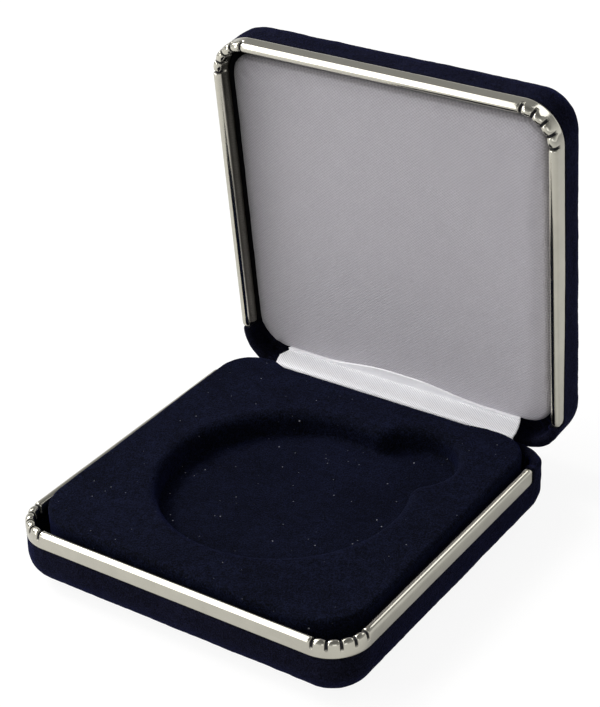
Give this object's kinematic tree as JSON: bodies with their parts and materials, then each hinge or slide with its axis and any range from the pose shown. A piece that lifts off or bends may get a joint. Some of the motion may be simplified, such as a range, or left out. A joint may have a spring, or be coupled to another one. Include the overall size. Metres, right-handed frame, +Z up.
{
  "type": "coin display case",
  "caption": "Square hinged presentation case with a round coin recess and thumb notch, velour covered, metal edge trim, padded satin lid.",
  "frame": {"origin": "on the floor, under the middle of the base", "axes": "+X to the right along the front edge, +Y from the front edge to the hinge, +Z up out of the base"},
  "size_m": [0.09, 0.1068, 0.1023],
  "materials": {
    "moulding": "moulded shell, hidden under the velour",
    "velour": "navy velour, short pile",
    "trim_metal": "nickel plated, polished",
    "underside_card": "thin card faced with flocked paper",
    "flock": "navy flock on a formed plastic sheet",
    "greyboard": "grey packing card",
    "plated_steel": "nickel plated sheet steel",
    "spring_steel": "blued spring strip",
    "rivet_metal": "plain",
    "satin_strip": "white satin with a visible weave",
    "foam": "soft foam",
    "satin": "white satin over foam, in the lid's shade"
  },
  "bodies": {
    "base": {"base_shell": "moulding", "base_velour": "velour", "base_trim": "trim_metal", "underside_card": "underside_card", "coin_tray": "flock", "tray_riser": "greyboard", "hinge_leaf_base": "plated_steel", "hinge_pin": "plated_steel", "snap_spring_left": "spring_steel", "snap_spring_right": "spring_steel", "base_rivets": "rivet_metal", "hinge_strip": "satin_strip"},
    "lid": {"lid_shell": "moulding", "lid_velour": "velour", "lid_trim": "trim_metal", "lid_riser": "greyboard", "lid_board": "greyboard", "lid_foam": "foam", "lid_lining": "satin", "hinge_leaf_lid": "plated_steel", "lid_rivets": "rivet_metal"}
  },
  "joints": [
    {"name": "lid_hinge", "type": "hinge", "parent": "base", "child": "lid", "pos_m": [0, 0.04335, 0.013], "axis": [1, 0, 0], "range_deg": [0, 85], "deforming": ["hinge_strip"]}
  ]
}
